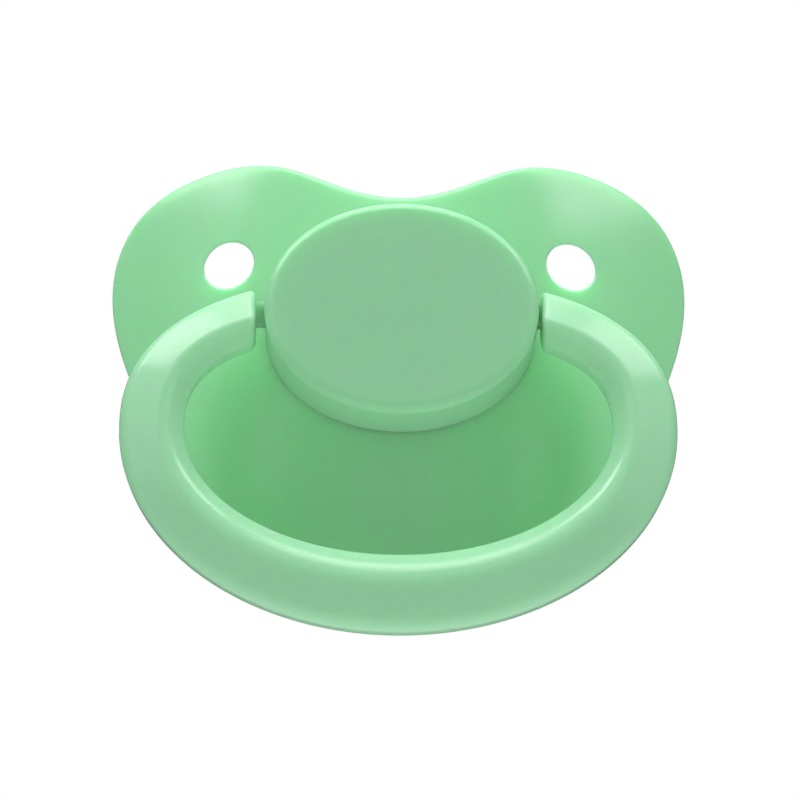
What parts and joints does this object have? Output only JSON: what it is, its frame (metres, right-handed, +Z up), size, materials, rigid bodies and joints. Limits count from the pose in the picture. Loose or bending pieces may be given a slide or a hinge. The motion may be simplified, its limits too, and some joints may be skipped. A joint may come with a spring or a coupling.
{
  "type": "pacifier",
  "caption": "Pacifier with a butterfly-shaped vented shield, a hollow silicone teat, an oval button and a ring handle that swings on moulded pins.",
  "frame": {"origin": "on the teat's axis, where the teat leaves the back of the shield, in the middle of the wearer's lips", "axes": "+Y into the mouth along the teat, -Y out of the button's face, +Z up the face, +X to the right seen from in front"},
  "size_m": [0.0758, 0.0469, 0.0662],
  "materials": {
    "shield_plastic": "gloss moulded polypropylene, mint green",
    "button_plastic": "gloss moulded polypropylene, mint green",
    "ring_plastic": "gloss moulded polypropylene, mint green",
    "plug_plastic": "satin moulded polypropylene, mint green",
    "teat_silicone": "clear, slightly milky silicone"
  },
  "bodies": {
    "body": {"shield": "shield_plastic", "button_cap": "button_plastic", "teat": "teat_silicone", "teat_plug": "plug_plastic"},
    "ring": {"ring_handle": "ring_plastic"}
  },
  "joints": [
    {"name": "ring_swing", "type": "hinge", "parent": "body", "child": "ring", "pos_m": [0, -0.0061, 0], "axis": [-1, 0, 0], "range_deg": [-8, 196]}
  ]
}
